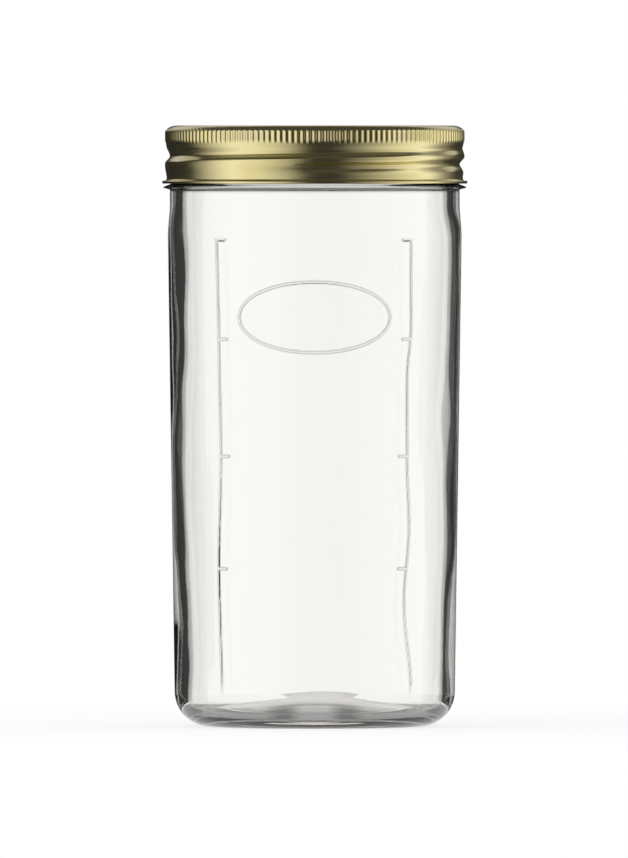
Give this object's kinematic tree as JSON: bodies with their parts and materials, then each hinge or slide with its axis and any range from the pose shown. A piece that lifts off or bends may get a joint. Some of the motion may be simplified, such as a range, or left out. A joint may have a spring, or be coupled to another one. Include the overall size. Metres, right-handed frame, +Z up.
{
  "type": "preserving jar",
  "caption": "Wide-mouth clear glass preserving jar with a tapered body, closed by a metal disc with a sealing ring under a knurled gold screw band.",
  "frame": {"origin": "centre of the base, on the surface that the jar stands on", "axes": "+Z up along the jar's axis, towards the lid; the pictured front faces -Y, with +X to its right"},
  "size_m": [0.1002, 0.1002, 0.197],
  "materials": {
    "clear_glass": "fire-polished moulded glass, clear, slightly wavy",
    "gold_lacquer": "gold lacquered tinplate, satin",
    "disc_lacquer": "gold lacquered tinplate, satin",
    "seal_compound": "smooth flowed-in sealing compound, pale"
  },
  "bodies": {
    "jar": {"glass_jar": "clear_glass"},
    "lid": {"lid_disc": "disc_lacquer", "sealing_ring": "seal_compound"},
    "band": {"screw_band": "gold_lacquer"}
  },
  "joints": [
    {"name": "lid_lift", "type": "slide", "parent": "jar", "child": "lid", "axis": [0, 0, 1], "range_m": [0, 0.0204]},
    {"name": "band_turn", "type": "hinge", "parent": "lid", "child": "band", "pos_m": [0, 0, 0.188], "axis": [0, 0, 1], "range_deg": [0, 1440]}
  ],
  "couplings": [
    {"joint": "lid_lift", "follows": "band_turn", "m_per_rad": 0.00081169}
  ]
}
